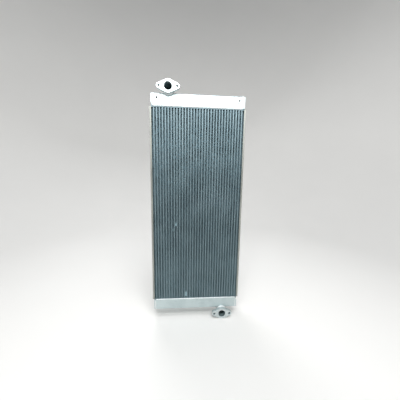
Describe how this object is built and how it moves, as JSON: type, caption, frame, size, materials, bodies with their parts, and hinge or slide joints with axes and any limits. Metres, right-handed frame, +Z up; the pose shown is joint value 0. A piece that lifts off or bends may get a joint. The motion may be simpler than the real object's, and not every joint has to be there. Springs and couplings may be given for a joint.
{
  "type": "hydraulic oil cooler",
  "caption": "Upright bar-and-plate aluminium oil cooler with welded tanks at its ends and a two-bolt oval port flange at two opposite corners.",
  "frame": {"origin": "centre of the bounding box: middle of the core across and up, 8.5 mm in front of the core's mid-plane", "axes": "+X to the right seen from the port side, +Y from the port side through the core to its back, +Z up along the oil passages"},
  "size_m": [0.4242, 0.103, 1.109],
  "materials": {
    "brazed_passages": "brazed mill finish",
    "air_fins": "thin folded sheet, dull",
    "side_plates": "brazed mill finish",
    "tanks": "brushed extrusion with welded ends",
    "castings": "sand cast",
    "machined_fittings": "machined"
  },
  "bodies": {
    "root": {"oil_passage_block": "brazed_passages", "air_fin_01": "air_fins", "air_fin_02": "air_fins", "air_fin_03": "air_fins", "air_fin_04": "air_fins", "air_fin_05": "air_fins", "air_fin_06": "air_fins", "air_fin_07": "air_fins", "air_fin_08": "air_fins", "air_fin_09": "air_fins", "air_fin_10": "air_fins", "air_fin_11": "air_fins", "air_fin_12": "air_fins", "air_fin_13": "air_fins", "air_fin_14": "air_fins", "air_fin_15": "air_fins", "air_fin_16": "air_fins", "air_fin_17": "air_fins", "air_fin_18": "air_fins", "air_fin_19": "air_fins", "air_fin_20": "air_fins", "air_fin_21": "air_fins", "air_fin_22": "air_fins", "air_fin_23": "air_fins", "air_fin_24": "air_fins", "air_fin_25": "air_fins", "air_fin_26": "air_fins", "air_fin_27": "air_fins", "air_fin_28": "air_fins", "air_fin_29": "air_fins", "air_fin_30": "air_fins", "air_fin_31": "air_fins", "air_fin_32": "air_fins", "air_fin_33": "air_fins", "side_plate_left": "side_plates", "side_plate_right": "side_plates", "upper_tank": "tanks", "upper_tank_port_end_cap": "tanks", "upper_tank_far_end_cap": "tanks", "upper_port_elbow": "castings", "upper_port_flange": "machined_fittings", "lower_tank": "tanks", "lower_tank_port_end_cap": "tanks", "lower_tank_far_end_cap": "tanks", "lower_port_elbow": "castings", "lower_port_flange": "machined_fittings", "mounting_boss_left": "machined_fittings", "mounting_boss_right": "machined_fittings"}
  },
  "joints": []
}
